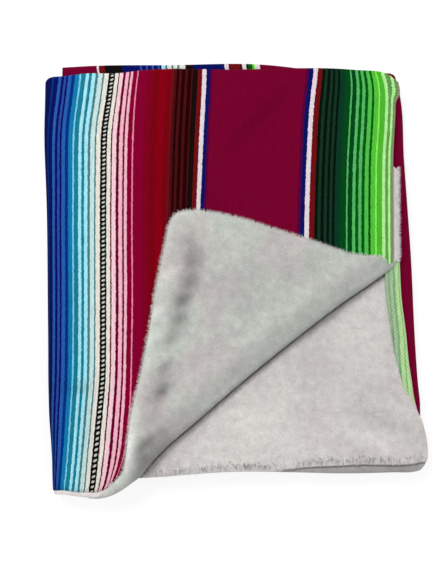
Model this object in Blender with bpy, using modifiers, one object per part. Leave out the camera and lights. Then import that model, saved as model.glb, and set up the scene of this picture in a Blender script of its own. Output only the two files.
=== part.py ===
"""Mexican serape blanket with a plush lining, folded flat, one corner of its top layer turned back.

The blanket is one panel of woven serape cloth sewn to one panel of plush. It is folded in half,
back edge to front edge with the plush inside, and that double sheet is folded in three like a letter.
Metres, +Z up. X runs across the stripes and Y along them, the hems are at -Y, and the origin is
under the middle of the stack on the surface it lies on.
"""
import math
from collections import namedtuple

import bmesh
import bpy
from mathutils import Vector

MM = 0.001
COLLECTION = "folded_serape"

# Cloth, measured square to its surface
FACE = 1.2 * MM  # woven serape cloth
LINING = 2.6 * MM  # plush, pile included
GAP = 0.3 * MM  # air between neighbouring pieces
HIDDEN_PLIES = 4  # the two lower thirds of the letter fold, each a double sheet
HIDDEN_PLY = 4.3 * MM  # face and lining of one hidden ply, pressed together
HIDDEN_TOP = HIDDEN_PLIES * HIDDEN_PLY
HIDDEN_LEVELS = (0, 0.12, 0.35, 0.65, 0.88)  # heights of the solid's rings within a ply
HIDDEN_GROOVE = 0.35  # depth of the groove between two plies, as a share of a ply
HIDDEN_ROUNDING = 0.06  # of the corners seen from above, as a share of half the side
HIDDEN_FRONT_Y = -170 * MM
HIDDEN_LEFT_ROOM = 2 * MM  # between the solid and the inside of the left fold

# Underside of each layer above the hidden ones
SECOND_FACE_Z = HIDDEN_TOP + GAP
SECOND_LINING_Z = SECOND_FACE_Z + FACE + GAP
TOP_LINING_Z = SECOND_LINING_Z + LINING + GAP
TOP_FACE_Z = TOP_LINING_Z + LINING + GAP
TOP_SURFACE_Z = TOP_FACE_Z + FACE
CORNER_FACE_Z = TOP_SURFACE_Z + GAP
CORNER_LINING_Z = CORNER_FACE_Z + FACE + GAP

# Left fold, where the top third turns down and under the stack
SIDE_FOLD_DEPTH = 10 * MM  # how far the bend reaches in from its outermost point
SIDE_FOLD_STEPS = 8
SIDE_FOLD_UNDER_Y = -174 * MM  # front end of the cloth where the bend meets the floor

# Back fold, where the double sheet was folded in half
BACK_FOLD_RADIUS = (TOP_FACE_Z - SECOND_FACE_Z - FACE) / 2
BACK_FOLD_STEPS = 6
BACK_FOLD_OUT = BACK_FOLD_RADIUS + FACE

# Plush that shows past the top ply's serape cloth
HEM_LIP = 5 * MM
HEM_LIP_END = 20 * MM  # it dies away over this length, towards the turned corner
SELVEDGE_LIP = 6 * MM
SELVEDGE_LIP_BACK_Y = 115 * MM
SELVEDGE_LIP_REACH = 25 * MM

# Free edges of the two upper plies sink beyond the stack that carries them
FRONT_SINK = 4 * MM
FRONT_SINK_START = -172 * MM
FRONT_SINK_REACH = 32 * MM
RIGHT_SINK = 4 * MM
RIGHT_SINK_REACH = 16 * MM
TOP_SINK_SHARE = 0.8
TOP_SINK_LATE = 5 * MM

# Turned-back corner: its fold runs from the right selvedge to the front hem
TURN_RIGHT = Vector((151.3, 9.3)) * MM
TURN_ANGLE = math.radians(219.6)  # direction of the fold, from its right end
TURN_START = 1 * MM
TURN_LENGTH = 316 * MM
TURN_BOW = 7 * MM  # the fold bends this far towards the turned corner
TURN_STEPS = 18
TURN_BEND_STEPS = 6
TURN_FLAT_STEPS = 5
TIP_ALONG = 130 * MM  # the blanket's corner, measured along the fold and out from it
TIP_REACH = 163 * MM
TIP_ROUNDING = 16 * MM
TURN_EDGE_GAP = 3 * GAP  # between the top ply and the start of its turned corner
TURN_END_REACH = 9 * MM
TURN_START_REACH = 3 * MM
SELVEDGE_BOW = 9 * MM
HEM_LOOSENESS = 2.4 * MM  # the fold opens by this much at the hem
HEM_LOOSE_LENGTH = 60 * MM

# Second ply's selvedge, rolled up over its own plush
ROLL_BACK_Y = -4 * MM
ROLL_FRONT_Y = -118 * MM
ROLL_WIDTH = 12 * MM
ROLL_FRONT_WIDTH = 3 * MM
ROLL_STEPS = 10
ROLL_BEND_STEPS = 6
ROLL_FLAT_STEPS = 2
ROLL_ROOM = 3 * MM  # the flat cloths stop this far short of the roll
ROLL_ROOM_REACH = 30 * MM
SECOND_SQUARE_Y = -150 * MM  # in front of this they run to the very edge

# Rows of cloth run from the back fold to the front hem, closer together where the cloth sinks
ROWS_BACK_Y = 190 * MM
TOP_ROWS_FRONT_Y = -191 * MM
TOP_ROW_STOPS = (ROWS_BACK_Y, TURN_RIGHT.y, FRONT_SINK_START, TOP_ROWS_FRONT_Y)
TOP_ROW_COUNTS = (8, 8, 4)
TOP_COLUMNS = 8
END_FIT = 0.2  # share of a ply's length over which its rows bend to meet its ends
SECOND_ROWS_FRONT_Y = -184 * MM
SECOND_ROW_STOPS = (ROWS_BACK_Y, FRONT_SINK_START, SECOND_ROWS_FRONT_Y)
SECOND_ROW_COUNTS = (12, 3)
SECOND_CARRIED_COLUMNS = 7
SECOND_SINKING_COLUMNS = 3
SECOND_LEFT_IN = 7.5 * MM  # inside the left fold
SECOND_BACK_GAP = 4 * GAP

Stuff = namedtuple("Stuff", "thickness colour roughness")
SERAPE = Stuff(FACE, (0.23, 0.0, 0.03), 0.85)
PLUSH = Stuff(LINING, (0.80, 0.80, 0.78), 0.95)

Side = namedtuple("Side", "y x")
End = namedtuple("End", "x y")

# Outlines seen from above, in millimetres
LEFT_FOLD = [
    Side(190, -175.5), Side(0, -168.5), Side(-100, -164.5), Side(-160, -159.5), Side(-206, -155)
]
RIGHT_FOLD = [Side(200, 158), Side(173, 163.8), Side(71, 166.7), Side(-62, 169.2), Side(-178, 171)]
TOP_SELVEDGE = [Side(190, 157), Side(174, 158.5), Side(158, 155), Side(66, 151), Side(9, 150.5)]
SECOND_SELVEDGE = [
    Side(190, 155), Side(1, 156), Side(-56, 159), Side(-101, 163),
    Side(-129, 169), Side(-160, 174.3), Side(-190, 174.6)
]
BACK_FOLD = [End(-176, 186), End(-158, 189), End(-100, 192.5), End(-78, 195), End(119, 196), End(160, 191)]
TOP_HEM = [End(-156, -193), End(-132, -199.5), End(-118, -200.5), End(-104, -198), End(-90, -191)]
SECOND_HEM = [
    End(-160, -188), End(-60, -186.5), End(-6, -182.6), End(97, -183.5), End(155, -182.5), End(176, -178)
]
HIDDEN_HEM = [End(-176, -170), End(0, -168), End(176, -172)]
HIDDEN_BACK_NOTCH = [Side(-206, 0), Side(130, 0), Side(172, 8), Side(182, 10), Side(210, 12)]
HIDDEN_BACK_LOW = [End(-176, 174), End(-158, 178), End(-146, 187), End(120, 188), End(160, 190)]
HIDDEN_BACK_HIGH = [
    End(-160, 203.5), End(-60, 205.5), End(40, 205.2), End(66, 201), End(100, 194), End(158, 196)
]


def smoothstep(share):
    share = min(max(share, 0.0), 1.0)
    return share * share * (3 - 2 * share)


def mix(a, b, share):
    return a + (b - a) * share


def read(table, at):
    """The second column of a table in millimetres at a value of its first, both in metres, smoothly."""
    rows = sorted(table)
    at /= MM
    at = min(max(at, rows[0][0]), rows[-1][0])
    k = max(i for i in range(len(rows) - 1) if rows[i][0] <= at)
    before, start, end, after = (rows[min(max(k + step, 0), len(rows) - 1)] for step in (-1, 0, 1, 2))
    span = end[0] - start[0]
    slope_in = (end[1] - before[1]) / (end[0] - before[0])
    slope_out = (after[1] - start[1]) / (after[0] - start[0])
    t = (at - start[0]) / span
    value = (
        (2 * t**3 - 3 * t**2 + 1) * start[1]
        + (t**3 - 2 * t**2 + t) * span * slope_in
        + (3 * t**2 - 2 * t**3) * end[1]
        + (t**3 - t**2) * span * slope_out
    )
    return value * MM


def sink(x, y):
    """How far an upper ply hangs at a point, beyond the front and right of the hidden layers."""
    front = FRONT_SINK * smoothstep((FRONT_SINK_START - y) / FRONT_SINK_REACH)
    carried_to = read(RIGHT_FOLD, y) - HIDDEN_TOP / 2
    right = RIGHT_SINK * smoothstep((x - carried_to) / RIGHT_SINK_REACH)
    return front + right


def top_sink(x, y):
    """The same for the top ply, which sinks later and less, so that it stays clear of the one under it."""
    return TOP_SINK_SHARE * sink(x, y + TOP_SINK_LATE)


def turn_point(along, out):
    """A point of the turned corner seen from above, out from the line of its fold."""
    direction = Vector((math.cos(TURN_ANGLE), math.sin(TURN_ANGLE)))
    across = Vector((direction.y, -direction.x))
    share = along / TURN_LENGTH
    bow = TURN_BOW * 4 * share * (1 - share)
    return TURN_RIGHT + direction * along + across * (out + bow)


def turn_x(y):
    """Where the fold of the turned corner crosses a line of constant Y."""
    near, far = 0.0, TURN_LENGTH
    for _ in range(40):
        middle = (near + far) / 2
        if turn_point(middle, 0).y > y:
            near = middle
        else:
            far = middle
    return turn_point(near, 0).x


def turn_reach(along):
    """How far the turned corner reaches out from its fold."""
    if along < TIP_ALONG:
        share = along / TIP_ALONG
        reach = mix(TURN_START_REACH, TIP_REACH, share) + SELVEDGE_BOW * math.sin(math.pi * share)
    else:
        reach = mix(TIP_REACH, TURN_END_REACH, (along - TIP_ALONG) / (TURN_LENGTH - TIP_ALONG))
    nearness = max(0.0, 1 - abs(along - TIP_ALONG) / TIP_ROUNDING)
    return reach - TIP_ROUNDING / 2 * nearness**2


def new_piece(name, mesh, stuff):
    """The object of one piece, in a material of its own."""
    material = bpy.data.materials.new(name)
    material.use_nodes = True
    shader = material.node_tree.nodes["Principled BSDF"]
    shader.inputs["Base Color"].default_value = (*stuff.colour, 1)
    shader.inputs["Roughness"].default_value = stuff.roughness
    shader.inputs["Metallic"].default_value = 0
    mesh.materials.append(material)
    piece = bpy.data.objects.new(name, mesh)
    bpy.data.collections[COLLECTION].objects.link(piece)
    return piece


def cloth(name, columns, rows, place, stuff):
    """A wall of cloth: a grid whose points place() sets out, thickened on the side that it faces."""
    mesh = bpy.data.meshes.new(name)
    shape = bmesh.new()
    bmesh.ops.create_grid(shape, x_segments=columns, y_segments=rows, size=1)
    for vert in shape.verts:
        column = round((vert.co.x + 1) / 2 * columns)
        row = round((1 - vert.co.y) / 2 * rows)
        vert.co = place(column, row)
    shape.to_mesh(mesh)
    shape.free()
    mesh.shade_smooth()
    piece = new_piece(name, mesh, stuff)
    wall = piece.modifiers.new("cloth thickness", "SOLIDIFY")
    wall.thickness = stuff.thickness
    wall.offset = 1
    wall.use_even_offset = True
    return piece


def spaced(stops, counts):
    """Values from the first stop to the last, with a count of even steps between each two."""
    values = [stops[0]]
    for start, end, count in zip(stops, stops[1:], counts):
        values += [mix(start, end, step / count) for step in range(1, count + 1)]
    return values


def fit_ends(y, back, front, rows_front):
    """Moves a row's Y so that the first row lies on the back edge and the last on the hem."""
    level = (ROWS_BACK_Y - y) / (ROWS_BACK_Y - rows_front)
    near_back = 1 - smoothstep(level / END_FIT)
    near_front = smoothstep(1 - (1 - level) / END_FIT)
    return y + (back - ROWS_BACK_Y) * near_back + (front - rows_front) * near_front


def top_ply_point(share_across, y, left_in, right_out, back_in, hem_out):
    """A point of the top ply seen from above: between its left fold and its selvedge or turned corner."""
    left = read(LEFT_FOLD, y) + left_in
    right = min(read(TOP_SELVEDGE, y) + right_out(y), turn_x(y))
    x = mix(left, right, share_across)
    hem = read(TOP_HEM, x) - hem_out * smoothstep((right - x) / HEM_LIP_END)
    return x, fit_ends(y, read(BACK_FOLD, x) - back_in, hem, TOP_ROWS_FRONT_Y)


def side_bend(step, left):
    """Point and outward normal of the left fold's inner face, from the floor (step 0) to the top."""
    angle = math.pi * (1 - step / SIDE_FOLD_STEPS)
    half_height = (TOP_FACE_Z - FACE) / 2
    x = left + FACE + SIDE_FOLD_DEPTH - SIDE_FOLD_DEPTH * math.sin(angle)
    z = FACE + half_height + half_height * math.cos(angle)
    normal = Vector((-math.sin(angle) / SIDE_FOLD_DEPTH, 0, math.cos(angle) / half_height)).normalized()
    return x, z, normal


def side_bend_inset(z):
    """How far in from the left fold's outermost line its inner face lies at a height."""
    half_height = (TOP_FACE_Z - FACE) / 2
    lift = min(1.0, abs(z - FACE - half_height) / half_height) if z > FACE + 2 * GAP else 1.0
    return FACE + GAP + SIDE_FOLD_DEPTH * (1 - math.sqrt(1 - lift**2))


def make_face_top():
    """Serape cloth of the top ply, with its bends down the left side and over the back."""
    row_ys = spaced(TOP_ROW_STOPS, TOP_ROW_COUNTS)

    def place(column, row):
        bend = max(0, BACK_FOLD_STEPS - row)
        across = max(0, column - SIDE_FOLD_STEPS) / TOP_COLUMNS
        y = row_ys[max(0, row - BACK_FOLD_STEPS)]
        x, y = top_ply_point(across, y, FACE + SIDE_FOLD_DEPTH, lambda _: 0, BACK_FOLD_OUT, 0)
        z, normal = TOP_FACE_Z, Vector((0, 0, 1))
        if column < SIDE_FOLD_STEPS:
            left = x - FACE - SIDE_FOLD_DEPTH
            x, z, normal = side_bend(column, left)
            under = 1 - column / SIDE_FOLD_STEPS
            y += max(0, SIDE_FOLD_UNDER_Y - y) * under
        z -= top_sink(x, y) * min(1, z / TOP_FACE_Z)
        angle = math.pi * bend / BACK_FOLD_STEPS
        point = Vector((x, y, z)) - normal * BACK_FOLD_RADIUS * (1 - math.cos(angle))
        point.y += BACK_FOLD_RADIUS * math.sin(angle)
        return point

    columns = SIDE_FOLD_STEPS + TOP_COLUMNS
    return cloth("face_top", columns, BACK_FOLD_STEPS + len(row_ys) - 1, place, SERAPE)


def make_lining_top():
    """Plush of the top ply: it shows as a lip past the serape cloth at the hem and the selvedge."""
    row_ys = spaced(TOP_ROW_STOPS, TOP_ROW_COUNTS)
    left_in = FACE + SIDE_FOLD_DEPTH

    def selvedge_lip(y):
        return SELVEDGE_LIP * smoothstep((SELVEDGE_LIP_BACK_Y - y) / SELVEDGE_LIP_REACH)

    def place(column, row):
        share = column / TOP_COLUMNS
        x, y = top_ply_point(share, row_ys[row], left_in, selvedge_lip, BACK_FOLD_OUT + GAP, HEM_LIP)
        return Vector((x, y, TOP_LINING_Z - top_sink(x, y)))

    return cloth("lining_top", TOP_COLUMNS, len(row_ys) - 1, place, PLUSH)


def turned_corner(name, inner_radius, shorter_by, stuff):
    """One cloth of the turned corner: half a turn about the fold, then flat over the top ply."""
    columns = TURN_BEND_STEPS + TURN_FLAT_STEPS

    def place(column, row):
        along = mix(TURN_LENGTH, TURN_START, row / TURN_STEPS)
        loose = HEM_LOOSENESS * smoothstep(1 - (TURN_LENGTH - along) / HEM_LOOSE_LENGTH)
        radius = inner_radius + loose / 2
        angle = math.pi * min(1, column / TURN_BEND_STEPS)
        flat = max(0, column - TURN_BEND_STEPS) / TURN_FLAT_STEPS
        out = flat * (turn_reach(along) - shorter_by) - radius * math.sin(angle) - TURN_EDGE_GAP
        centre_z = (TOP_LINING_Z + CORNER_LINING_Z + LINING + loose) / 2
        spot = turn_point(along, out)
        z = centre_z - radius * math.cos(angle)
        return Vector((spot.x, spot.y, z - top_sink(spot.x, spot.y)))

    return cloth(name, columns, TURN_STEPS, place, stuff)


def second_ply(name, bottom, hem_in, stuff):
    """One cloth of the ply under the top one. Its right edge leaves room for the rolled selvedge."""
    row_ys = spaced(SECOND_ROW_STOPS, SECOND_ROW_COUNTS)

    def place(column, row):
        y = row_ys[row]
        left = read(LEFT_FOLD, y) + SECOND_LEFT_IN
        carried_to = read(RIGHT_FOLD, y) - HIDDEN_TOP / 2
        right = read(SECOND_SELVEDGE, y) - ROLL_ROOM * smoothstep((y - SECOND_SQUARE_Y) / ROLL_ROOM_REACH)
        stops = (left, min(carried_to, right - 6 * MM), right)
        x = spaced(stops, (SECOND_CARRIED_COLUMNS, SECOND_SINKING_COLUMNS))[column]
        back = read(BACK_FOLD, x) - BACK_FOLD_OUT - SECOND_BACK_GAP
        y = fit_ends(y, back, read(SECOND_HEM, x) + hem_in, SECOND_ROWS_FRONT_Y)
        return Vector((x, y, bottom - sink(x, y)))

    columns = SECOND_CARRIED_COLUMNS + SECOND_SINKING_COLUMNS
    return cloth(name, columns, len(row_ys) - 1, place, stuff)


def make_selvedge_roll():
    """The second ply's serape cloth, rolled over the edge of its plush and tapering to the front."""
    radius = (LINING + 3 * GAP) / 2

    def place(column, row):
        y = mix(ROLL_FRONT_Y, ROLL_BACK_Y, row / ROLL_STEPS)
        width = mix(ROLL_FRONT_WIDTH, ROLL_WIDTH, smoothstep(row / ROLL_STEPS))
        angle = math.pi * min(1, column / ROLL_BEND_STEPS)
        flat = max(0, column - ROLL_BEND_STEPS) / ROLL_FLAT_STEPS
        edge = read(SECOND_SELVEDGE, y) - radius
        x = edge + radius * math.sin(angle) - flat * width
        z = SECOND_LINING_Z - GAP + radius * (1 - math.cos(angle))
        return Vector((x, y, z - sink(x, y)))

    return cloth("face_second_roll", ROLL_BEND_STEPS + ROLL_FLAT_STEPS, ROLL_STEPS, place, SERAPE)


def rounded_square(rounding):
    """Points round a square from -1 to 1, counter-clockwise, with its corners rounded."""
    inner = 1 - rounding
    side = spaced((-1, -inner, inner, 1), (2, 7, 2))[:-1]
    sharp = [(1, s) for s in side] + [(-s, 1) for s in side] + [(-1, -s) for s in side] + [(s, -1) for s in side]
    points = []
    for x, y in sharp:
        centre = Vector((min(max(x, -inner), inner), min(max(y, -inner), inner)))
        points.append(centre + (Vector((x, y)) - centre).normalized() * rounding)
    return points


def bulge(z, folds):
    """How far the edge of the hidden layers, as so many folds on each other, lies in at a height."""
    height = HIDDEN_TOP / folds
    middle = (math.floor(min(z / height, folds - 1e-6)) + 0.5) * height
    radius = height / 2
    return radius - math.sqrt(max(0.0, radius**2 - (z - middle) ** 2))


def make_hidden_layers():
    """The two lower thirds of the letter fold as one solid, rounded at its folds, layered at its edges."""
    levels = [HIDDEN_PLY * (ply + share) for ply in range(HIDDEN_PLIES) for share in HIDDEN_LEVELS]
    levels.append(HIDDEN_TOP)
    outline = rounded_square(HIDDEN_ROUNDING)
    groove = HIDDEN_PLY * HIDDEN_GROOVE
    mesh = bpy.data.meshes.new("hidden_layers")
    shape = bmesh.new()
    rings = []
    for z in levels:
        upper = z > HIDDEN_TOP / 2 + 0.01 * MM
        ring = []
        for across, along in outline:
            y = mix(HIDDEN_FRONT_Y, ROWS_BACK_Y, (along + 1) / 2)
            left = read(LEFT_FOLD, y) + side_bend_inset(z) + HIDDEN_LEFT_ROOM + read(HIDDEN_BACK_NOTCH, y)
            right = read(RIGHT_FOLD, y) - bulge(z, 1)
            x = mix(left, right, (across + 1) / 2)
            back = read(HIDDEN_BACK_HIGH if upper else HIDDEN_BACK_LOW, x) - bulge(z, 2)
            front = read(HIDDEN_HEM, x) + min(bulge(z, 4), groove)
            ring.append(shape.verts.new((x, mix(front, back, (along + 1) / 2), z)))
        rings.append(ring)
    for lower, higher in zip(rings, rings[1:]):
        for k in range(len(outline)):
            after = (k + 1) % len(outline)
            shape.faces.new((lower[k], lower[after], higher[after], higher[k]))
    shape.faces.new(reversed(rings[0]))
    shape.faces.new(rings[-1])
    bmesh.ops.recalc_face_normals(shape, faces=shape.faces)
    shape.to_mesh(mesh)
    shape.free()
    return new_piece("hidden_layers", mesh, SERAPE)


def main():
    for obj in list(bpy.data.objects):
        bpy.data.objects.remove(obj)
    bpy.context.scene.collection.children.link(bpy.data.collections.new(COLLECTION))
    make_hidden_layers()
    second_ply("face_second", SECOND_FACE_Z, FACE, SERAPE)
    second_ply("lining_second", SECOND_LINING_Z, 0, PLUSH)
    make_selvedge_roll()
    make_lining_top()
    make_face_top()
    turned_corner("face_corner", GAP / 2, HEM_LIP, SERAPE)
    turned_corner("lining_corner", FACE + 1.5 * GAP, 0, PLUSH)


main()
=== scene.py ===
# A serape blanket with a plush lining, folded flat, one corner of its top layer turned back.
# X runs across the stripes, Y along them, the hems are at -Y. Tables of places are in millimetres.
import math

import bpy
import numpy as np
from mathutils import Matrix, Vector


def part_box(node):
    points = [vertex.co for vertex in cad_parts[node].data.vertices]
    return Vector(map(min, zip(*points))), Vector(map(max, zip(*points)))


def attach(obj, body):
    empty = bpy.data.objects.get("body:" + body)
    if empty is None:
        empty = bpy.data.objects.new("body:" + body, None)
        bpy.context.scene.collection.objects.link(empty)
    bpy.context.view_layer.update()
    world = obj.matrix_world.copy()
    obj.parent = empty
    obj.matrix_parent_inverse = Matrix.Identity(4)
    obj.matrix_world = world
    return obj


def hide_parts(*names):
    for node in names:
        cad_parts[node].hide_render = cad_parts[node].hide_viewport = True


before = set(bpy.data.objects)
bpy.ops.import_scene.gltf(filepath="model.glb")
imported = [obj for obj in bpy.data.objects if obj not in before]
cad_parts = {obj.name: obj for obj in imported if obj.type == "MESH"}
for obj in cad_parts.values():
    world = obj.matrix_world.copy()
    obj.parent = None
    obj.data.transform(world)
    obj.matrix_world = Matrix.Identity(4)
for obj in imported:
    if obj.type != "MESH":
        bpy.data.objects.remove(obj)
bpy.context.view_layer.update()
mm = 0.001

cloth = {
    "face": 1.2 * mm,       # woven serape, measured square to its surface
    "plush": 2.6 * mm,      # lining with its pile
    "gap": 0.3 * mm,
    "topZ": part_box("face_top")[1].z,            # top of the upper serape cloth
    "secondZ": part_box("lining_second")[1].z,    # top of the second ply's plush
    "stackZ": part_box("hidden_layers")[1].z,     # top of the two lower thirds
}

# Outlines seen from above: a value along the edge, then where the edge lies
leftFold = [(200, -177), (190, -176.6), (130, -175.6), (66, -171.4), (-52, -166.2), (-137, -162.2),
            (-163, -159.6), (-206, -156.6)]
rightFold = [(205, 157), (198, 158.5), (173, 163.8), (112, 165.4), (71, 166.7), (17, 168.4), (-62, 169.2),
             (-100, 170.3), (-123, 171.6), (-131, 171.3), (-178, 169)]
backFold = [(-176, 186), (-171, 188), (-158, 189.4), (-141, 191.6), (-100, 193), (-87, 195), (0, 196),
            (119, 196), (150, 192), (162, 186)]
topHem = [(-156, -194.6), (-149, -197.4), (-141, -198.9), (-123, -199.8), (-117.6, -199.7), (-112, -198),
          (-104.3, -192.7), (-98.1, -186.5), (-92, -177)]
lipHem = [(-157, -197.6), (-149, -201), (-136, -203.4), (-128, -204.3), (-117, -205), (-107.7, -203.4),
          (-98.2, -199.6), (-88.8, -193.4), (-79.5, -187)]
secondSelvedge = [(190, 155), (1, 156), (-26, 156.5), (-56, 159.2), (-86, 161.1), (-101, 162.8),
                  (-113, 164.3), (-129, 168.7), (-146, 173.1), (-160, 175.2), (-170, 175.6), (-177, 174.6),
                  (-181, 172.4), (-184.5, 168)]
secondHem = [(-160, -188), (-60, -186.5), (-38, -184.7), (-6, -182.5), (58, -182.5), (97, -183.4),
             (143, -182.5), (164, -181.7), (176, -178)]

# Stripes of the whole blanket, from the top third's free selvedge: yarn, width in millimetres
selvedgeBand = [
    ("olive", 1.2), ("moss", 1.3), ("paleGreen", 1.8), ("moss", 2.4), ("paleGreen", 3), ("leaf", 4.6),
    ("paleLime", 1.1), ("lime", 4.5), ("bottle", 1.6), ("bright", 3.6), ("bottle", 2.9), ("spring", 2.5),
    ("bottle", 2.6), ("spring", 2.4), ("fir", 4.1), ("spring", 1.3), ("fir", 5.7), ("pine", 4.8),
    ("blackGreen", 1.6), ("slateGreen", 2.7), ("blackGreen", 2.1), ("slateGreen", 2.7), ("blackGreen", 2.6),
    ("slateGreen", 2.7), ("blackGreen", 3.1), ("oxblood", 4.4), ("white", 3.9), ("navy", 4.2),
    ("plum", 2.6),
]
middleBand = [
    ("plum", 2.6), ("navy", 3.3), ("white", 3.8), ("oxblood", 4.2), ("black", 4.6), ("umber", 1.3),
    ("maroon", 3.4), ("umber", 2.5), ("maroon", 3), ("umber", 2.5), ("maroon", 2.4), ("umber", 2.5),
    ("oxblood", 2.2), ("ruby", 4), ("crimson", 7), ("ruby", 6), ("cherry", 6), ("magenta", 8.7),
    ("rose", 1.5), ("magenta", 4.1), ("pink", 2.6), ("wine", 2), ("pink", 3.2), ("wine", 2.4), ("blush", 4),
    ("wine", 1.4), ("cream", 3.4), ("ink", 5.8), ("cream", 4.1), ("slateTeal", 1), ("mint", 3.9),
    ("slateTeal", 2.4), ("ice", 2.8), ("teal", 2.7), ("ice", 2.6), ("teal", 3.8), ("sky", 1.4),
    ("cyan", 4.1), ("royal", 2.6), ("blue", 3.2), ("navy", 1.7), ("violet", 2.2), ("navy", 2.4),
    ("blue", 2.9), ("navy", 4), ("royal", 2), ("navy", 5),
]
farBand = [
    ("paleGreen", 2.5), ("leaf", 2), ("bottle", 2.5), ("blackGreen", 3), ("white", 2.6), ("black", 3.4),
    ("oxblood", 10.5), ("white", 3.6), ("navy", 29.5), ("black", 7.5), ("cream", 6.5), ("slateTeal", 2.4),
    ("cream", 3.2), ("slateTeal", 2.6), ("cream", 3.2), ("slateTeal", 2.6), ("ice", 3.6), ("navy", 2),
    ("blue", 1.8), ("navy", 3.6), ("blue", 1.8), ("navy", 3.4), ("violet", 1.8), ("navy", 3),
    ("violet", 1.8), ("navy", 17.4), ("ink", 18), ("oxblood", 4.9), ("white", 3), ("burgundy", 70),
]
reverseBand = [("hay", 1.6), ("pistachio", 2.4), ("sage", 0.7), ("pistachio", 2.2), ("sage", 1.4),
               ("mist", 1.6), ("sage", 1), ("mist", 3)]
stripes = (selvedgeBand + [("burgundy", 84.7)] + middleBand + middleBand[::-1] + [("burgundy", 325.8)]
           + [("white", 3)] + farBand + reverseBand)

yarns = {  # sRGB colour, and how far the cord stands up as a share of the tallest
    "olive": ((150, 142, 120), 0.6), "moss": ((104, 160, 88), 0.3), "paleGreen": ((182, 248, 154), 0.9),
    "leaf": ((80, 188, 48), 0.5), "paleLime": ((140, 244, 100), 0.9), "lime": ((86, 200, 58), 0.5),
    "bright": ((82, 196, 78), 0.7), "bottle": ((2, 92, 14), 0.2), "spring": ((88, 190, 104), 1),
    "fir": ((4, 72, 26), 0.25), "pine": ((10, 58, 38), 0.5), "slateGreen": ((22, 52, 36), 0.9),
    "blackGreen": ((2, 20, 10), 0.15), "oxblood": ((112, 16, 22), 0.5), "white": ((236, 222, 230), 0.9),
    "navy": ((10, 18, 98), 0.3), "plum": ((86, 2, 62), 0.2), "burgundy": ((120, 2, 46), 0.2),
    "black": ((22, 12, 10), 0.2), "umber": ((74, 16, 20), 0.9), "maroon": ((40, 0, 2), 0.2),
    "crimson": ((138, 0, 20), 0.25), "ruby": ((124, 2, 18), 0.25), "cherry": ((130, 1, 32), 0.2),
    "magenta": ((136, 0, 48), 0.2), "hay": ((196, 206, 160), 0.7), "pistachio": ((184, 222, 156), 0.8),
    "sage": ((130, 172, 122), 0.2), "mist": ((168, 196, 160), 0.5), "rose": ((246, 140, 174), 0.9),
    "pink": ((252, 186, 206), 1), "wine": ((106, 0, 42), 0.2), "blush": ((252, 214, 222), 0.8),
    "cream": ((238, 234, 224), 0.7), "ink": ((16, 14, 14), 0.4), "slateTeal": ((70, 128, 138), 0.2),
    "mint": ((204, 234, 232), 0.7), "ice": ((172, 238, 248), 1), "teal": ((30, 128, 156), 0.2),
    "sky": ((124, 218, 246), 0.9), "cyan": ((24, 124, 178), 0.3), "royal": ((2, 52, 132), 0.2),
    "blue": ((40, 96, 180), 0.9), "violet": ((46, 78, 172), 0.9),
}
stripeEdges = np.concatenate([[0], np.cumsum([width for _, width in stripes])]) * mm

# Where some stripes run on the top third: distance from the selvedge, then (y, x) along the stripe
warpLines = [
    (0, [(196, 158.5), (193, 160.2), (189, 161.4), (184, 162), (179, 161.6), (174, 159.8), (170, 157.8),
         (164, 157), (154, 156.4), (135, 154.8), (114, 153), (85, 151.6), (47, 150.4), (-60, 148)]),
    (8.2, [(196, 143.4), (192, 145), (181, 148), (169, 149), (158, 148.5), (134, 146.9), (114, 144.8),
           (85, 143.3), (47, 142), (-60, 140)]),
    (75.3, [(196, 83), (184, 81.5), (154, 77.4), (114, 74.4), (47, 71), (-60, 70)]),
    (176.5, [(196, -23.6), (164, -24.7), (134, -26.3), (95, -27.8), (66, -29), (-60, -29)]),
    (239.7, [(196, -86.4), (164, -89.4), (134, -90.6), (66, -90.6), (-56, -88.7), (-140, -90), (-168, -92),
             (-180, -95), (-190, -101), (-197, -108), (-206, -116)]),
    (266.4, [(196, -110.8), (164, -114), (134, -117.4), (95, -117.6), (9, -116.2), (-56, -114.8),
             (-101, -114.5), (-137, -117), (-163, -119.4), (-190, -122), (-206, -124.4)]),
    (302.9, [(196, -151.8), (164, -154.4), (148, -155.8), (66, -155), (-52, -151.3), (-101, -150.6),
             (-137, -151.4), (-165, -152.4), (-190, -154.6), (-206, -156.4)]),
]


def along(table, at):
    # second column of a table at values of its first, on a smooth curve through its rows
    x, y = np.array(sorted(table), float).T * mm
    slope = np.gradient(y, x)
    at = np.clip(at, x[0], x[-1])
    k = np.clip(np.searchsorted(x, at) - 1, 0, len(x) - 2)
    span = x[k + 1] - x[k]
    t = (at - x[k]) / span
    return ((2 * t**3 - 3 * t**2 + 1) * y[k] + (t**3 - 2 * t**2 + t) * span * slope[k]
            + (3 * t**2 - 2 * t**3) * y[k + 1] + (t**3 - t**2) * span * slope[k + 1])


def smooth(share):
    share = np.clip(share, 0, 1)
    return share * share * (3 - 2 * share)


def ramp(value, start, over):
    # from 0 to 1 over so many millimetres, from a start in millimetres
    return smooth((value - start * mm) / (over * mm))


def mix(a, b, share):
    return a + (b - a) * share


def bell(distance, width):
    return np.exp(-(distance / width) ** 2)


def roundOver(distance, width):
    # share of its depth that a rounded edge drops at a distance from the edge
    return 1 - np.sqrt(np.clip(1 - np.clip(1 - distance / width, 0, 1) ** 2, 0, 1))


def ripple(x, y, size, seed, waves=7):
    # soft random waves from -1 to 1, about one size long
    random = np.random.default_rng(seed)
    total = np.zeros(np.broadcast(x, y).shape)
    for _ in range(waves):
        angle, phase = random.uniform(0, math.tau, 2)
        step = math.tau / (size * random.uniform(0.7, 1.6))
        total += np.sin((x * math.cos(angle) + y * math.sin(angle)) * step + phase)
    return total / waves * 1.6


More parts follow.
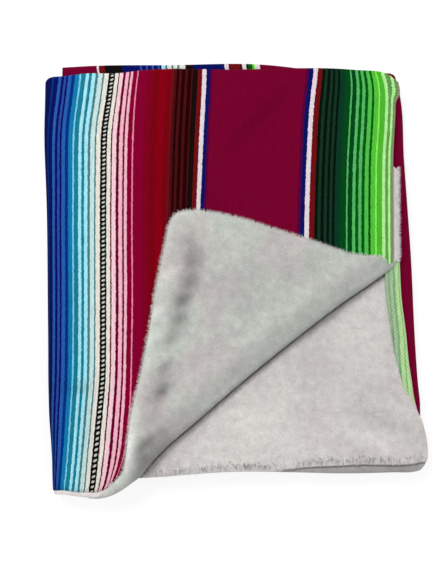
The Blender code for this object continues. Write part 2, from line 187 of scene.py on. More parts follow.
def spaced(low, high, coarse, fine, zone, atLow=True, atHigh=True):
    # places from low to high, closer together within a zone at either end
    parts = []
    first, last = low + zone * atLow, high - zone * atHigh
    if atLow:
        parts.append(np.linspace(low, first, round(zone / fine) + 1)[:-1])
    parts.append(np.linspace(first, last, round((last - first) / coarse) + 1))
    if atHigh:
        parts.append(np.linspace(last, high, round(zone / fine) + 1)[1:])
    return np.concatenate(parts)


def addSheet(name, points, weaveAt=None, tone=1.0):
    # a grid whose points are moved to where the cloth lies: rows run front to back, columns left to right
    rows, columns = points.shape[:2]
    bpy.ops.object.select_all(action="DESELECT")
    bpy.ops.mesh.primitive_grid_add(x_subdivisions=columns - 1, y_subdivisions=rows - 1, size=2)
    piece = bpy.context.object
    piece.name = piece.data.name = name
    piece.data.vertices.foreach_set("co", points.reshape(-1))
    if weaveAt is not None:
        attribute = piece.data.attributes.new("weave", "FLOAT_VECTOR", "POINT")
        attribute.data.foreach_set("vector", weaveAt.reshape(-1))
    attribute = piece.data.attributes.new("tone", "FLOAT", "POINT")
    attribute.data.foreach_set("value", np.broadcast_to(tone, (rows, columns)).reshape(-1).astype(np.float32))
    piece.data.update()
    return piece


def applyModifier(piece, kind, **settings):
    modifier = piece.modifiers.new(kind.lower(), kind)
    for key, value in settings.items():
        setattr(modifier, key, value)
    bpy.context.view_layer.objects.active = piece
    bpy.ops.object.modifier_apply(modifier=modifier.name)


def mergeDoubles(piece, distance=0.02 * mm):
    bpy.ops.object.mode_set(mode="EDIT")
    bpy.ops.mesh.select_all(action="SELECT")
    bpy.ops.mesh.remove_doubles(threshold=distance)
    bpy.ops.object.mode_set(mode="OBJECT")


def finishCloth(piece, thickness, material, rim=0):
    # the thickness grows away from the side that shows, and a rim rounds the free edges
    mergeDoubles(piece)
    applyModifier(piece, "SOLIDIFY", thickness=thickness, offset=-1)
    if rim:
        applyModifier(piece, "BEVEL", width=rim, segments=2, limit_method="ANGLE",
                      angle_limit=math.radians(60))
    points = np.empty(len(piece.data.vertices) * 3)
    piece.data.vertices.foreach_get("co", points)
    points[2::3] = np.maximum(points[2::3], 0)      # nothing reaches into the floor
    piece.data.vertices.foreach_set("co", points)
    piece.data.shade_smooth()
    piece.data.materials.clear()
    piece.data.materials.append(material)
    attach(piece, "root")
    print("made", piece.name, len(piece.data.polygons), "faces")


def newMaterial(name, roughness):
    material = bpy.data.materials.new(name)
    material.use_nodes = True
    shader = material.node_tree.nodes["Principled BSDF"]
    shader.inputs["Roughness"].default_value = roughness
    return material, material.node_tree, shader


def addNode(tree, kind, links=None, **settings):
    node = tree.nodes.new("ShaderNode" + kind)
    for key, value in settings.items():
        setattr(node, key, value)
    for socket, value in (links or {}).items():
        if isinstance(value, bpy.types.NodeSocket):
            tree.links.new(value, node.inputs[socket])
        else:
            node.inputs[socket].default_value = value
    return node


def maths(operation, *values):
    tree = next(value.id_data for value in values if isinstance(value, bpy.types.NodeSocket))
    return addNode(tree, "Math", dict(enumerate(values)), operation=operation).outputs[0]


def blendColours(tree, factor, a, b, how="MIX"):
    node = addNode(tree, "Mix", data_type="RGBA", blend_type=how)
    for socket, value in ((node.inputs["Factor"], factor), (node.inputs["A"], a), (node.inputs["B"], b)):
        if isinstance(value, bpy.types.NodeSocket):
            tree.links.new(value, socket)
        else:
            socket.default_value = value
    return node.outputs["Result"]


def paintedLightAndTone(tree):
    # painted light and shade, with some random tone, that each sheet carries in its own attribute
    return addNode(tree, "Attribute", attribute_name="tone").outputs["Fac"]


def mapped(value, low, high, toLow=0.0, toHigh=1.0):
    links = {"Value": value, "From Min": low, "From Max": high, "To Min": toLow, "To Max": toHigh}
    return addNode(value.id_data, "MapRange", links).outputs[0]


def shaded(colour, tone):
    # a colour darkened or lightened by a tone
    greys = addNode(tone.id_data, "CombineColor", {0: tone, 1: tone, 2: tone})
    return blendColours(tone.id_data, 1.0, colour, greys.outputs[0], "MULTIPLY")


def bumped(shader, height, finish):
    tree = height.id_data
    links = {"Height": height, "Strength": finish["bump"], "Distance": finish["bumpDepth"]}
    tree.links.new(addNode(tree, "Bump", links).outputs[0], shader.inputs["Normal"])


def linear(colour):
    # sRGB from 0 to 255, as a socket takes it
    return [*(((c / 255 + 0.055) / 1.055) ** 2.4 if c > 10 else c / 255 / 12.92 for c in colour), 1]


def stripeColour(tree, across):
    # ramps of flat colours, one after the other, because a ramp holds 32 colours at most
    perRamp = 31
    colour = None
    for first in range(0, len(stripes), perRamp):
        group = stripes[first:first + perRamp]
        low, high = stripeEdges[first], stripeEdges[first + len(group)]
        stops = addNode(tree, "ValToRGB", {"Fac": mapped(across, low, high)})
        stops.color_ramp.interpolation = "CONSTANT"
        for k, (yarn, _) in enumerate(group):
            share = (stripeEdges[first + k] - low) / (high - low)
            if k < 2:
                stop = stops.color_ramp.elements[k]
                stop.position = share
            else:
                stop = stops.color_ramp.elements.new(share)
            stop.color = linear(yarns[yarn][0])
        if colour is None:
            colour = stops.outputs["Color"]
        else:
            colour = blendColours(tree, maths("GREATER_THAN", across, low), colour, stops.outputs["Color"])
    return colour


serape = {
    "wobble": 1.7 * mm, "wobbleSize": 3.2 * mm,      # cords of uneven width
    "chainPitch": 4.1 * mm, "chainLink": (1.5 * mm, 1.05 * mm), "chainSlant": 0.35, "chainAside": 2.9 * mm,
    "linkColour": (206, 204, 196),
    "threadPitch": 1.3 * mm, "weftPitch": 1.1 * mm, "threadStretch": (900, 90, 1), "threadTones": (0.86, 1.1),
    "twistPitch": 3.3 * mm, "twistShade": 0.1, "twistSlant": 1.3,      # plies of the cords
    "bump": 0.6, "bumpDepth": 0.1 * mm, "roughness": 0.92,
}


def serapeMaterial():
    material, tree, shader = newMaterial("striped serape weave", serape["roughness"])
    place = addNode(tree, "Attribute", attribute_name="weave").outputs["Vector"]
    axes = addNode(tree, "SeparateXYZ", {0: place})
    across, down = axes.outputs[0], axes.outputs[1]

    wobble = addNode(tree, "TexNoise",
                     {"Vector": place, "Scale": 1 / serape["wobbleSize"], "Detail": 2.0, "Roughness": 0.6})
    shift = maths("MULTIPLY", maths("SUBTRACT", wobble.outputs["Fac"], 0.5), serape["wobble"])
    colour = stripeColour(tree, maths("ADD", across, shift))

    # white links along the two black cords
    band = len(selvedgeBand) + 1
    chainMiddle = stripeEdges[band + [yarn for yarn, _ in middleBand].index("ink")] + serape["chainAside"]
    mirror = stripeEdges[band + len(middleBand)]
    folded = maths("SUBTRACT", mirror, maths("ABSOLUTE", maths("SUBTRACT", across, mirror)))
    linkWide, linkHigh = serape["chainLink"]
    aside = maths("DIVIDE", maths("SUBTRACT", maths("ADD", folded, shift), chainMiddle), linkWide)
    slant = maths("MULTIPLY", aside, serape["chainSlant"] * linkWide)
    step = maths("DIVIDE", maths("ADD", down, slant), serape["chainPitch"])
    onward = maths("DIVIDE", maths("SUBTRACT", maths("FRACT", step), 0.5), linkHigh / serape["chainPitch"])
    reach = maths("ADD", maths("MULTIPLY", aside, aside), maths("MULTIPLY", onward, onward))
    colour = blendColours(tree, mapped(reach, 1.25, 0.75), colour, linear(serape["linkColour"]))

    # single threads differ a little, and their fibres catch the light
    stretch = addNode(tree, "Mapping", {"Vector": place, "Scale": serape["threadStretch"]})
    threads = addNode(tree, "TexNoise", {"Vector": stretch.outputs[0], "Scale": 1.0, "Detail": 3.0})
    tone = mapped(threads.outputs["Fac"], 0.3, 0.7, *serape["threadTones"])
    slantwise = maths("ADD", down, maths("MULTIPLY", across, serape["twistSlant"]))
    twist = maths("SINE", maths("MULTIPLY", slantwise, math.tau / serape["twistPitch"]))
    plies = maths("ADD", maths("MULTIPLY", twist, serape["twistShade"]), 1)
    colour = shaded(colour, maths("MULTIPLY", maths("MULTIPLY", tone, plies), paintedLightAndTone(tree)))
    tree.links.new(colour, shader.inputs["Base Color"])

    warp = maths("SINE", maths("MULTIPLY", across, math.tau / serape["threadPitch"]))
    weft = maths("MULTIPLY", down, math.tau / serape["weftPitch"])
    weft = maths("SINE", maths("ADD", weft, maths("MULTIPLY", across, math.pi / serape["threadPitch"])))
    height = maths("ADD", maths("ADD", warp, weft), maths("MULTIPLY", threads.outputs["Fac"], 2.0))
    bumped(shader, height, serape)
    shader.inputs["Specular IOR Level"].default_value = 0.03
    return material


# looseColour is lighter than the plush's own colour: a painted highlight on the loose fibres
plush = {
    "patch": 45 * mm, "napSize": 7 * mm, "fibreSize": 1.5 * mm, "tones": (0.86, 1.11),
    "bump": 0.8, "bumpDepth": 1.0 * mm, "roughness": 1.0, "looseColour": (228, 225, 225),
}


def plushMaterial(name, colour, shadow):
    # colour is the open pile, shadow the pile brushed the other way
    material, tree, shader = newMaterial(name, plush["roughness"])
    place = addNode(tree, "TexCoord").outputs["Object"]
    patch = addNode(tree, "TexNoise", {"Vector": place, "Scale": 1 / plush["patch"], "Detail": 1.0})
    shades = blendColours(tree, mapped(patch.outputs["Fac"], 0.35, 0.65), linear(shadow), linear(colour))
    nap = addNode(tree, "TexNoise",
                  {"Vector": place, "Scale": 1 / plush["napSize"], "Detail": 3.0, "Roughness": 0.6})
    fibres = addNode(tree, "TexNoise",
                     {"Vector": place, "Scale": 1 / plush["fibreSize"], "Detail": 3.0, "Roughness": 0.7})
    both = maths("ADD", nap.outputs["Fac"], fibres.outputs["Fac"])
    grey = maths("MULTIPLY", mapped(both, 0.75, 1.25, *plush["tones"]), paintedLightAndTone(tree))
    tree.links.new(shaded(shades, grey), shader.inputs["Base Color"])
    height = maths("ADD", fibres.outputs["Fac"], maths("MULTIPLY", nap.outputs["Fac"], 1.5))
    bumped(shader, height, plush)
    shader.inputs["Sheen Weight"].default_value = 0.08
    shader.inputs["Sheen Roughness"].default_value = 0.6
    shader.inputs["Specular IOR Level"].default_value = 0.1
    return material


def fibreMaterial():
    # single fibres of the pile, each with its own shade; most are painted lighter than the plush they grow
    # from, a painted highlight on the loose fibres
    material, tree, shader = newMaterial("loose plush fibres", 1.0)
    tree.links.new(shaded(linear(plush["looseColour"]), paintedLightAndTone(tree)), shader.inputs["Base Color"])
    shader.inputs["Specular IOR Level"].default_value = 0.1
    return material


serapeWeave = serapeMaterial()
looseFibres = fibreMaterial()
plushTop = plushMaterial("white plush", (216, 213, 210), (209, 203, 202))
# the flap's plush is a darker copy of the same plush: painted shade for pile lying against the nap
shadedPlushFlap = plushMaterial("white plush painted darker against the nap", (197, 203, 196), (200, 195, 193))


sinks = {  # free edges hang past the stack that carries them
    "frontDepth": 4 * mm, "frontY": -172 * mm, "frontReach": 32 * mm,
    "rightDepth": 4 * mm, "rightReach": 16 * mm, "share": 0.8, "topLate": 5 * mm,
}


def sink(x, y):
    front = sinks["frontDepth"] * smooth((sinks["frontY"] - y) / sinks["frontReach"])
    carried = along(rightFold, y) - cloth["stackZ"] / 2
    right = sinks["rightDepth"] * smooth((x - carried) / sinks["rightReach"])
    return sinks["share"] * (front + right)


# soft creases: middle, direction in degrees, half length, half width, depth in millimetres
topCreases = [
    ((28, 146), 47, 40, 8, 1.3), ((-60, 90), 80, 60, 14, 0.5), ((96, 100), 95, 50, 10, 0.4),
    ((-140, -60), 92, 70, 8, 0.5), ((-139, -110), 6, 24, 6, 1.2), ((-126, -150), 100, 40, 9, 0.5),
    ((-20, 60), 100, 60, 12, 0.5),
]
secondCreases = [
    ((70, -88), 60, 30, 14, 0.9), ((140, -140), -20, 34, 8, 1.5), ((118, -112), -12, 40, 14, 0.8),
    ((150, -60), 80, 40, 7, 0.6), ((128, -158), -24, 34, 7, -1.2), ((20, -140), -14, 50, 10, -0.6),
]


def creaseDepth(creases, x, y):
    deep = np.zeros(np.broadcast(x, y).shape)
    for middle, degrees, length, width, depth in creases:
        angle = math.radians(degrees)
        u = (x / mm - middle[0]) * math.cos(angle) + (y / mm - middle[1]) * math.sin(angle)
        v = -(x / mm - middle[0]) * math.sin(angle) + (y / mm - middle[1]) * math.cos(angle)
        deep = deep + depth * mm * np.exp(-(u / length) ** 2 - (v / width) ** 2)
    return deep


def topHeight(x, y):
    # outer surface of the upper serape cloth
    z = cloth["topZ"] - sink(x, y + sinks["topLate"])
    z = z + 0.5 * mm * ripple(x, y, 120 * mm, 3) - 0.3 * mm - creaseDepth(topCreases, x, y)
    droop = smooth((x / mm - 146) / 18) * smooth((y / mm - 90) / 60)      # over the back right corner
    return z - 4 * mm * droop


def warpX(s, y):
    # where a stripe lies on the flat of the top third; s and y are a row's arrays
    marks = np.array([at for at, _ in warpLines]) * mm
    lines = np.array([along(table, y) for _, table in warpLines])
    out = np.empty((len(y), len(s)))
    for k in range(len(y)):
        out[k] = np.interp(s, marks, lines[:, k])
        past = s > marks[-1]
        out[k, past] = lines[-1, k] - (s[past] - marks[-1])
        before = s < 0
        out[k, before] = lines[0, k] - s[before]
    return out


def warpS(x, y):
    # the stripe at each x of one row
    marks = np.array([at for at, _ in warpLines]) * mm
    lines = np.array([along(table, np.array([y]))[0] for _, table in warpLines])
    far = 120 * mm
    return np.interp(-x, np.concatenate([[-lines[0] - far], -lines, [far - lines[-1]]]),
                     np.concatenate([[-far], marks, [marks[-1] + far]]))


side = {"reach": 11.2 * mm, "bend": 12.1 * mm}    # left fold: depth from its outermost line, mean radius


def foldStart(y):
    return along(leftFold, y) + side["reach"]


def sideFold(x, y, z, depth, under):
    # bends what lies left of the fold's start down and back under; z is the height of the outer surface
    start = foldStart(y)
    angle = np.clip((start - x) / side["bend"], 0, math.pi)
    extra = np.clip((start - x) - math.pi * side["bend"], 0, 0.4 * mm)
    below = smooth(2 * angle / math.pi - 1)
    depth = np.where(depth < 0, depth * (1 - below), depth)
    half = z / 2
    folded = x < start
    y = y + np.maximum(under - y, 0) * np.where(folded, below, 0)
    bentX = start - (side["reach"] - depth) * np.sin(angle) + extra
    bentZ = half + (half - depth) * np.cos(angle)
    return np.where(folded, bentX, x), y, np.where(folded, bentZ, z - depth)


turn = {  # the turned corner's fold, seen from above
    "right": np.array([151.3, 9.3]) * mm, "angle": math.radians(219.6), "length": 349 * mm, "span": 316 * mm,
    "bow": 7 * mm,
}
# distance along the fold, then how far out the fold's edge, the free edge and the roll's radius lie
foldEdge = [(-8, -3), (0, -3.8), (10, -4.6), (30, -5), (60, -4.2), (113, -4), (182, -3.6), (230, -3.4),
            (283, -2.8), (293, -3.8), (303, -5), (314, -3.6), (325, -1.4), (335, 2.4), (343, 7.6),
            (350, 14.5)]
freeEdge = [(-8, 1), (0, 2.2), (3, 5), (7, 8.4), (11, 11.2), (19, 17.4), (29.3, 28.2), (49.2, 59.7),
            (69.7, 90.9), (85.2, 114.7), (99.5, 132.8), (111, 144.5), (119.6, 151), (127, 154),
            (133, 153.4), (139, 150), (153.2, 138.7), (169.3, 125.3), (188, 109.8), (215.6, 85.4),
            (234, 70.7), (251.9, 56.6), (270.4, 43.6), (288, 28.6), (300.5, 17), (310.6, 9.2), (321, 7),
            (329, 8.4), (335, 10), (343, 14), (350, 19)]
foldRadius = [(-8, 1), (0, 1.6), (8, 2.6), (24, 4.2), (200, 4.3), (260, 6.2), (290, 7.4), (305, 6.6),
              (320, 4.8), (336, 2.6), (350, 1.4)]


def turnAxes():
    way = np.array([math.cos(turn["angle"]), math.sin(turn["angle"])])
    return way, np.array([way[1], -way[0]])


def turnBow(a):
    share = a / turn["span"]
    return turn["bow"] * 4 * share * (1 - share)


def turnPoint(a, out):
    # a along the fold from its right end, out from it towards the corner's tip
    way, aside = turnAxes()
    out = out + turnBow(a)
    return turn["right"][0] + way[0] * a + aside[0] * out, turn["right"][1] + way[1] * a + aside[1] * out


def turnPlace(x, y):
    # the other way round: along the fold and out from it, for points seen from above
    way, aside = turnAxes()
    dx, dy = x - turn["right"][0], y - turn["right"][1]
    a = dx * way[0] + dy * way[1]
    return a, dx * aside[0] + dy * aside[1] - turnBow(a)


def foldX(y):
    # where the turned corner's fold crosses each Y, and a metre off where it doesn't
    a = np.linspace(0, 329 * mm, 300)
    x, ys = turnPoint(a, along(foldEdge, a) + 2.5 * mm)
    return np.where(y < ys[0], np.interp(y, ys[::-1], x[::-1]), 1.0)


def layOut(left, right, shares, rows):
    # a sheet from its left to its right edge: x, row, where the left fold starts, and x where it is flat
    x = mix(left[:, None], right[:, None], shares[None])
    rowGrid = np.repeat(rows[:, None], len(shares), 1)
    edge = foldStart(rowGrid)
    return x, rowGrid, edge, np.maximum(x, edge)


def fitEnds(rowGrid, front, back):
    # slides rows so that the first lies on the hem and the last on the start of the back fold
    low, high = rowGrid[0], rowGrid[-1]
    level = (rowGrid - low) / (high - low)
    nearFront = 1 - smooth(level / 0.2)
    nearBack = smooth((level - 0.8) / 0.2)
    return rowGrid + (front - low) * nearFront + (back - high) * nearBack


def backBend(points, radius, steps):
    # carries the sheet on round the back fold: the rows that it adds turn down and back under the last one
    last, before = points[-1], points[-2]
    across = np.gradient(last, axis=0)
    onward = last - before
    onward[:, 0] *= 0.2
    normal = np.cross(across, onward)
    normal[:, 1] = 0
    size = np.linalg.norm(normal, axis=1)[:, None]
    normal = np.where(size > 1e-12, normal / np.maximum(size, 1e-12), [0, 0, -1])
    evenly = np.ones(25) / 25
    normal = np.stack([np.convolve(np.pad(part, 12, "edge"), evenly, "valid") for part in normal.T], 1)
    normal /= np.maximum(np.linalg.norm(normal, axis=1)[:, None], 1e-9)
    rows = []
    for step in range(1, steps + 1):
        angle = math.pi * step / steps
        rows.append(last - normal * radius * (1 - math.cos(angle)) + [0, radius * math.sin(angle), 0])
    return np.concatenate([points, rows])


def backWeave(weaveAt, radius, steps):
    # the stripes carry on along the rows that backBend adds
    more = [weaveAt[-1] + [0, radius * math.pi * k / steps, 0] for k in range(1, steps + 1)]
    return np.concatenate([weaveAt, more])


topSheet = {
    "rib": 2.6, "ribHeight": 0.6 * mm, "width": 362 * mm,       # its cords, and how far it goes across them
    "front": -191 * mm, "back": 190 * mm, "rowStep": 4.5 * mm, "underY": -174 * mm,
    "bendRadius": 4.25 * mm, "bendSteps": 10, "creaseShade": 130, "foldShade": 0.35,
}


def ribColumns(fromS, toS, perRib):
    # columns along each cord's edges and crown, with how far the cord stands up there
    places, heights = [], []
    for k, (yarn, width) in enumerate(stripes):
        if stripeEdges[k + 1] <= fromS or stripeEdges[k] >= toS:
            continue
        ribs = max(1, round(width / topSheet["rib"]))
        for rib in range(ribs):
            for part in range(perRib):
                share = part / perRib
                places.append(stripeEdges[k] + (rib + share) * width * mm / ribs)
                heights.append(yarns[yarn][1] * math.sin(math.pi * share) ** 0.7)
    places, heights = np.array(places), np.array(heights) * topSheet["ribHeight"]
    kept = (places >= fromS) & (places <= toS)
    return places[kept], heights[kept]


def makeTopFace():
    # the upper serape, from its hem over the back fold, and round the left fold
    s, rib = ribColumns(0, topSheet["width"], 3)
    s, rib = s[::-1], rib[::-1]
    front, back = topSheet["front"], topSheet["back"]
    rows = np.linspace(front, back, round((back - front) / topSheet["rowStep"]))
    x = warpX(s, rows)
    limit = foldX(rows) - 2.5 * mm      # the cloth ends inside the turned corner's fold
    beyond = x > limit[:, None]
    sAll = np.repeat(s[None], len(rows), 0)
    for k in range(len(rows)):
        if beyond[k].any():
            sAll[k, beyond[k]] = warpS(limit[k:k + 1], rows[k])[0]
    x = np.minimum(x, limit[:, None])
    rowGrid = np.repeat(rows[:, None], len(s), 1)
    edge = foldStart(rowGrid)
    flatX = np.maximum(x, edge)
    radius, steps = topSheet["bendRadius"], topSheet["bendSteps"]
    y = fitEnds(rowGrid, along(topHem, flatX), along(backFold, flatX) - radius)
    points = np.stack(sideFold(x, y, topHeight(flatX, y), -rib[None], topSheet["underY"]), 2)
    weaveAt = np.stack([sAll, rowGrid, np.zeros_like(rowGrid)], 2)
    tone = 1 - topSheet["creaseShade"] * creaseDepth(topCreases, flatX, y)
    tone = tone - topSheet["foldShade"] * smooth((edge - x) / (14 * mm))
    tone = np.concatenate([tone, np.repeat(tone[-1:], steps, 0)])
    piece = addSheet("topFace", backBend(points, radius, steps), backWeave(weaveAt, radius, steps), tone)
    finishCloth(piece, cloth["face"], serapeWeave)
    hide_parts("face_top")


topPlush = {
    "lip": 4.6 * mm, "fringe": 5.4 * mm, "fringeFrom": 101 * mm,      # how far it shows past the serape
    "depth": 1.5 * mm, "lipRise": 1.1 * mm, "lipLight": 0.38, "edgeRound": 2.4 * mm, "edgeDrop": 1.6 * mm,
}


def plushNap(x, y):
    return 0.25 * mm * ripple(x, y, 9 * mm, 11) + 0.15 * mm * ripple(x, y, 4 * mm, 12)


def makeTopLining():
    # plush under the upper serape: its lip shows at the hem and past the selvedge
    rows = spaced(topSheet["front"], topSheet["back"], 3 * mm, 0.6 * mm, 9 * mm, atHigh=False)
    fringed = smooth((topPlush["fringeFrom"] - rows) / (7 * mm))
    fringe = (topPlush["fringe"] + 0.5 * mm * ripple(rows, 0, 7 * mm, 5)) * fringed - 1 * mm * (1 - fringed)
    right = np.minimum(along(warpLines[0][1], rows) + fringe, foldX(rows) - 1 * mm)
    left = foldStart(rows) - 36 * mm
    x, rowGrid, edge, flatX = layOut(left, right, np.linspace(0, 1, 150), rows)
    y = fitEnds(rowGrid, along(lipHem, flatX), along(backFold, flatX) - 6 * mm)
    past = smooth((along(topHem, flatX) + 0.6 * mm - y) / (1.2 * mm))
    depth = topPlush["depth"] - topPlush["lipRise"] * past
    depth = depth + topPlush["edgeDrop"] * roundOver(y - y[0], topPlush["edgeRound"])
    points = sideFold(x, y, topHeight(flatX, y), depth, topSheet["underY"] - topPlush["lip"])
    piece = addSheet("topLining", np.stack(points, 2), tone=1 + topPlush["lipLight"] * past)
    finishCloth(piece, cloth["plush"] - 0.2 * mm, plushTop, rim=1.0 * mm)
    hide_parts("lining_top")


cornerPlush = {
    "rows": 200, "bendSteps": 18, "flatSteps": 110, "height": 4.4 * mm, "endHeight": 1.6 * mm,
    "edgeRound": 4.2 * mm, "edgeDrop": 2.8 * mm, "dentShade": 165, "underShade": 0.55, "foldShade": 0.22,
    "endShade": 0.28, "edgeLight": 0.1, "rimLight": 0.14, "endLight": 0.6,
}
cornerDents = [  # along the fold, out from it, half lengths both ways, depth in millimetres
    (134, 124, 10, 9, 1.6), (144, 110, 11, 9, 2.6), (158, 97, 11, 8, 3), (174, 87, 11, 7, 3.4),
    (188, 76, 10, 7, 2.6), (204, 66, 10, 6, 1.8), (228, 50, 13, 7, 2), (246, 36, 12, 6, 1.8),
    (200, 92, 14, 6, -1.4), (262, 26, 12, 5, 1.4), (238, 38, 9, 6, 1.6), (234, 61, 12, 6, -1.2),
    (120, 60, 40, 22, 0.7), (284, 12, 14, 5, 1.6), (70, 40, 30, 10, 0.7), (168, 112, 16, 7, -1.4),
    (216, 78, 12, 6, -1),
]


def turnGrid(rows, bendSteps, flatSteps):
    # along the fold, steps round it and on to the free edge, and how far round they are
    steps = np.arange(bendSteps + flatSteps + 1)[None]
    return np.repeat(rows[:, None], steps.size, 1), steps, math.pi * np.minimum(1, steps / bendSteps)


def cornerDent(a, out):
    deep = np.zeros(np.broadcast(a, out).shape)
    for middleA, middleOut, lengthA, lengthOut, depth in cornerDents:
        u, v = (a / mm - middleA) / lengthA, (out / mm - middleOut) / lengthOut
        deep = deep + depth * mm * np.exp(-u ** 2 - v ** 2)
    return deep


def makeCorner():
    # the turned corner's plush: round the fold, then flat out to its free edge
    bendSteps, flatSteps = cornerPlush["bendSteps"], cornerPlush["flatSteps"]
    rows = np.linspace(turn["length"], 0.5 * mm, cornerPlush["rows"])
    a, column, angle = turnGrid(rows, bendSteps, flatSteps)
    radius = along(foldRadius, a)
    middle = along(foldEdge, a) + radius
    reach = np.maximum(along(freeEdge, a) - middle, 0.8 * mm)
    flat = smooth(0.5 + 0.5 * np.maximum(0, column - bendSteps) / flatSteps) * 2 - 1
    out = middle - radius * np.sin(angle) + flat * reach
    fromFold, toFree = out - middle, along(freeEdge, a) - out
    x, y = turnPoint(a, out)
    bottom = cloth["secondZ"] - 1 * mm - sink(x, y + sinks["topLate"])
    bent = bottom + radius * (1 - np.cos(angle))
    height = mix(cornerPlush["height"], cornerPlush["endHeight"], ramp(a, 296, 30))
    level = mix(bent[:, bendSteps:bendSteps + 1], topHeight(x, y) + height, smooth(fromFold / (26 * mm)))
    z = np.where(column <= bendSteps, bent, level)

    tone = 1 - cornerPlush["underShade"] * smooth(1.45 - angle / math.pi * 2.2)
    tone = tone - cornerPlush["foldShade"] * smooth(1 - fromFold / (24 * mm))
    tone = tone + cornerPlush["edgeLight"] * smooth(1 - toFree / (14 * mm)) * (a > 110 * mm)
    tone = tone + cornerPlush["rimLight"] * smooth(1 - toFree / (3 * mm))
    tone = tone - cornerPlush["endShade"] * bell(fromFold, 11 * mm) * ramp(a, 235, 45)
    tone = tone + cornerPlush["endLight"] * smooth(1 - toFree / (20 * mm)) * ramp(a, 257, 46)
    tone = tone + 0.05 * ripple(x, y, 34 * mm, 22) + 0.035 * ripple(x, y, 12 * mm, 23)

    shape = (column > bendSteps) * smooth(fromFold / (8 * mm))
    dent = cornerDent(a, out) * shape
    tone = np.maximum(tone - cornerPlush["dentShade"] * dent, 0.3)
    z = z - dent + 0.7 * mm * ripple(x, y, 60 * mm, 21) * shape
    z = z - cornerPlush["edgeDrop"] * roundOver((1 - flat) * reach, cornerPlush["edgeRound"]) * (flat > 0)
    piece = addSheet("cornerLining", np.stack([x, y, z + plushNap(x, y) * shape], 2), tone=tone)
    piece.data.flip_normals()
    finishCloth(piece, cloth["plush"] - 0.3 * mm, shadedPlushFlap, rim=0.9 * mm)
    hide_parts("lining_corner")


cornerCloth = {"inset": 30 * mm, "rows": 60, "bendSteps": 8, "flatSteps": 32, "height": 1.3 * mm}


def makeCornerFace():
    # the serape cloth inside the turned corner
    bendSteps, flatSteps = cornerCloth["bendSteps"], cornerCloth["flatSteps"]
    rows = np.linspace(turn["length"] - cornerCloth["inset"], cornerCloth["inset"], cornerCloth["rows"])
    a, column, angle = turnGrid(rows, bendSteps, flatSteps)
    flat = np.maximum(0, column - bendSteps) / flatSteps
    radius = np.maximum(along(foldRadius, a) - 3 * mm, 0.8 * mm)
    middle = along(foldEdge, a) + 3.2 * mm + radius
    out = middle - radius * np.sin(angle) + flat * np.maximum(along(freeEdge, a) - 5 * mm - middle, 0.5 * mm)
    x, y = turnPoint(a, out)
    mirrorX, mirrorY = turnPoint(a, -out)       # where the cloth lay before it was turned
    low = topHeight(x, y) - cloth["face"]
    high = topHeight(x, y) + cornerCloth["height"] - np.maximum(cornerDent(a, out), 0)
    z = np.where(column <= bendSteps, low + radius * (1 - np.cos(angle)), high)
    s = np.stack([warpS(mirrorX[k], rows.mean()) for k in range(len(rows))])
    piece = addSheet("cornerFace", np.stack([x, y, z], 2), np.stack([s, mirrorY, np.zeros_like(s)], 2))
    piece.data.flip_normals()
    finishCloth(piece, cloth["face"], serapeWeave)
    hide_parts("face_corner")


# the lip that the second ply's plush shows at its hem, and how far its selvedge is rolled back
frontLip = [(30, 0), (50, 2.2), (70, 4.6), (90, 6), (114, 7), (148, 6), (169, 6.4), (178, 5)]
rolledSelvedge = [(-136, 0), (-131, 1.2), (-117, 4), (-100, 6.4), (-80, 8.6), (-60, 10), (-40, 10.8),
                  (-20, 11.4), (10, 12)]
secondPlush = {
    "lipDrop": 1.9 * mm, "lipGroove": 0.7 * mm, "lipShade": 0.4, "creaseShade": 100, "foldGroove": 1.4 * mm,
    "foldShade": 0.75, "nearFoldShade": 0.09, "frontLight": 0.06,
    "frontDrop": 2.4 * mm, "rightDrop": 2.2 * mm, "edgeRound": 4 * mm,
}


